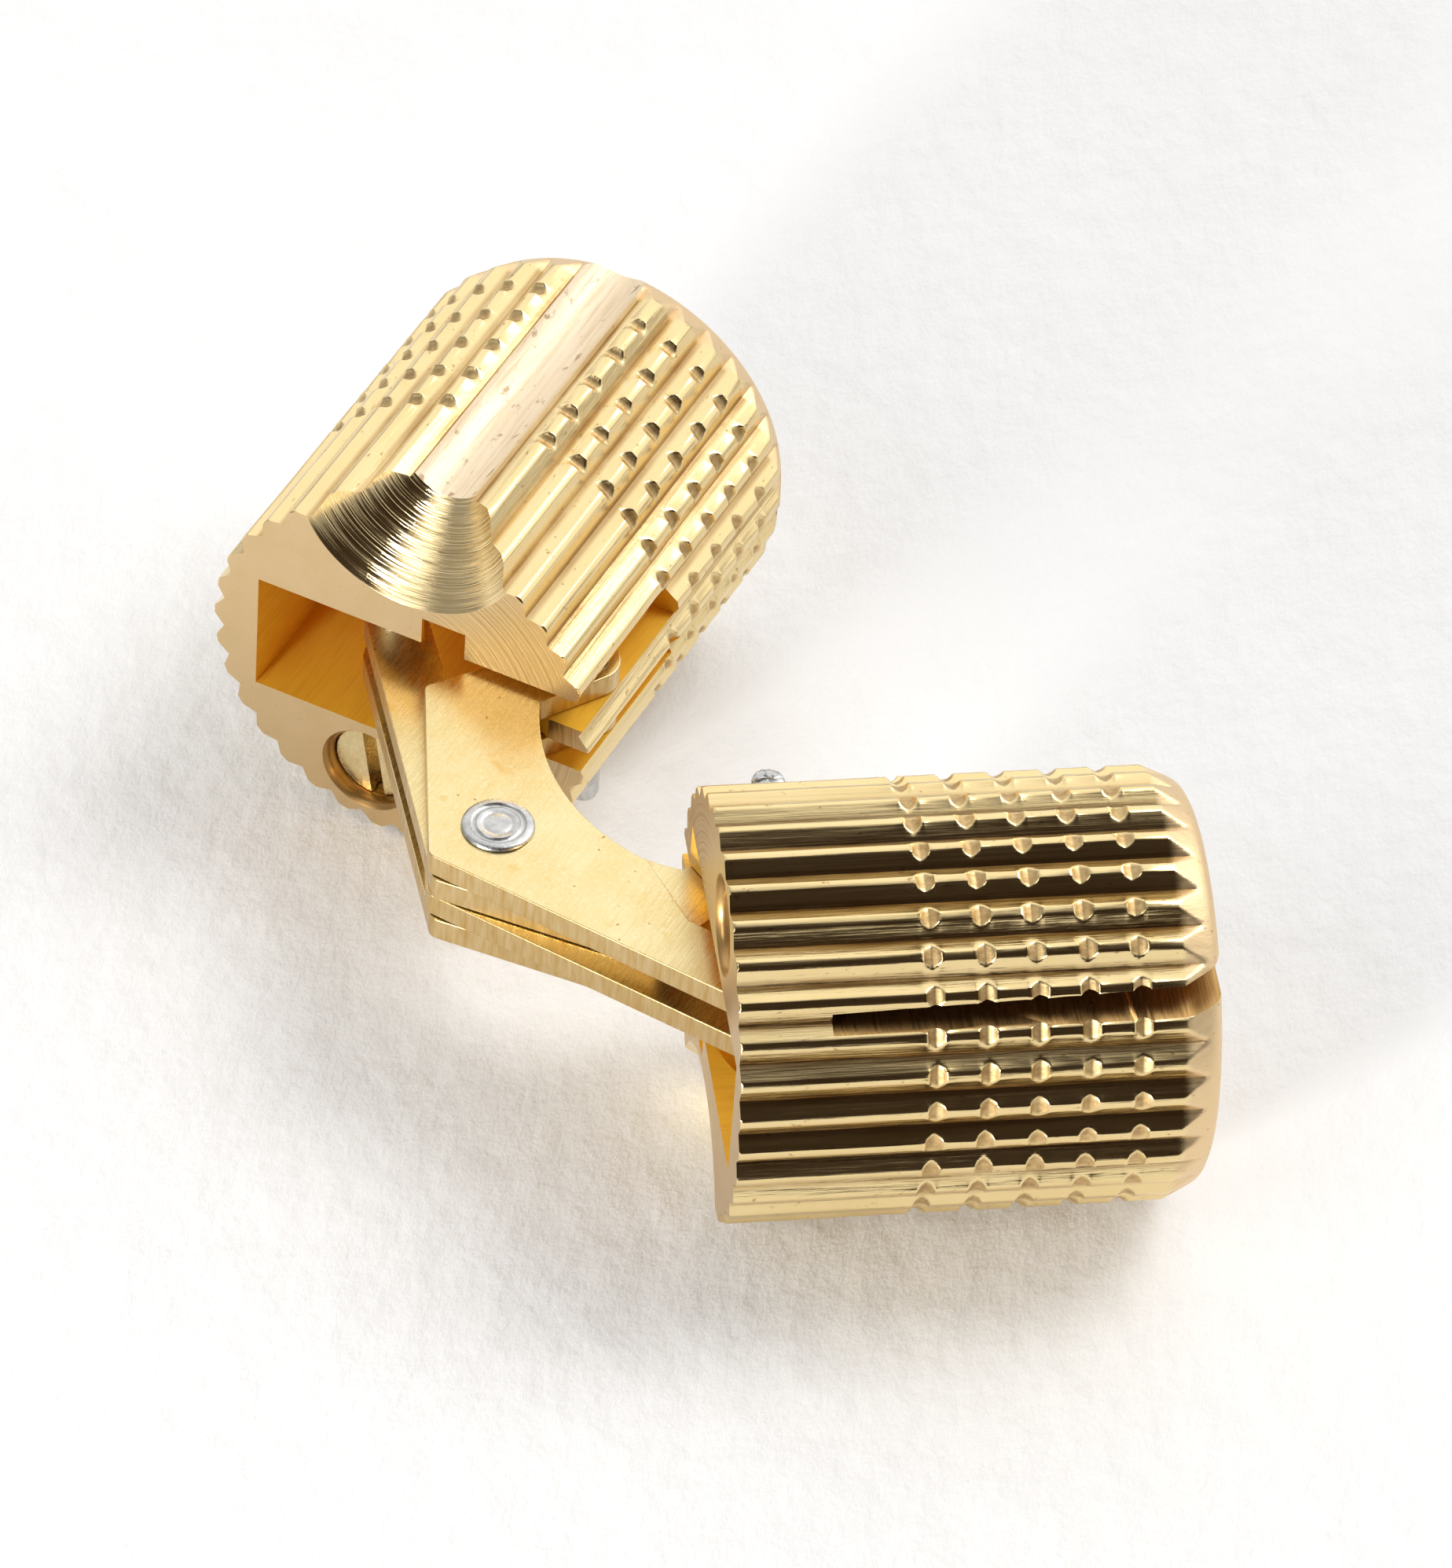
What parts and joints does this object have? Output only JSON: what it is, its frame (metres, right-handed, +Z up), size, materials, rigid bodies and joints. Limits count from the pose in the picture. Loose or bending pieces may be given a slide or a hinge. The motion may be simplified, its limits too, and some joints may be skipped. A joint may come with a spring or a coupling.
{
  "type": "concealed barrel hinge",
  "caption": "Concealed barrel hinge: two ridged brass barrels for drilled holes, joined by folding link plates on a steel rivet.",
  "frame": {"origin": "centre of barrel A's front face", "axes": "+Y into barrel A along its axis, +X to the side where the links come out, +Z up along the centre rivet"},
  "size_m": [0.0391, 0.0295, 0.014],
  "materials": {
    "barrel_brass": "bright turned and rolled brass",
    "plate_brass": "finely brushed stamped brass",
    "screw_brass": "turned brass",
    "pin_steel": "peened steel"
  },
  "bodies": {
    "barrel_a": {"barrel_a": "barrel_brass", "pivot_pin_a": "pin_steel"},
    "links_a": {"link_a_upper": "plate_brass", "link_a_lower": "plate_brass", "guide_pin_a": "pin_steel", "centre_rivet": "pin_steel"},
    "links_b": {"link_b_upper": "plate_brass", "link_b_lower": "plate_brass", "guide_pin_b": "pin_steel"},
    "barrel_b": {"barrel_b": "barrel_brass", "pivot_pin_b": "pin_steel"},
    "screw_a": {"expanding_screw_a": "screw_brass"},
    "screw_b": {"expanding_screw_b": "screw_brass"}
  },
  "joints": [
    {"name": "fold", "type": "hinge", "parent": "barrel_a", "child": "links_a", "pos_m": [0.00575, 0.0024, 0], "axis": [0, 0, 1], "range_deg": [-80.05, 36.3]},
    {"name": "centre_fold", "type": "hinge", "parent": "links_a", "child": "links_b", "pos_m": [0.00679, -0.00611, 0], "axis": [0, 0, 1], "range_deg": [-17.05, 37.24]},
    {"name": "far_fold", "type": "hinge", "parent": "links_b", "child": "barrel_b", "pos_m": [0.01441, -0.00219, 0], "axis": [0, 0, 1], "range_deg": [-80.35, 36.6]},
    {"name": "screw_a_turn", "type": "hinge", "parent": "barrel_a", "child": "screw_a", "pos_m": [-0.0011, 0.0005, -0.00465], "axis": [0, 1, 0], "range_deg": [0, 720]},
    {"name": "screw_b_turn", "type": "hinge", "parent": "barrel_b", "child": "screw_b", "pos_m": [0.01668, -0.00893, 0.00465], "axis": [0.8276, 0.5614, 0], "range_deg": [0, 720]}
  ],
  "couplings": [
    {"joint": "centre_fold", "follows": "fold", "ratio": -0.46154},
    {"joint": "far_fold", "follows": "fold", "ratio": 1}
  ]
}
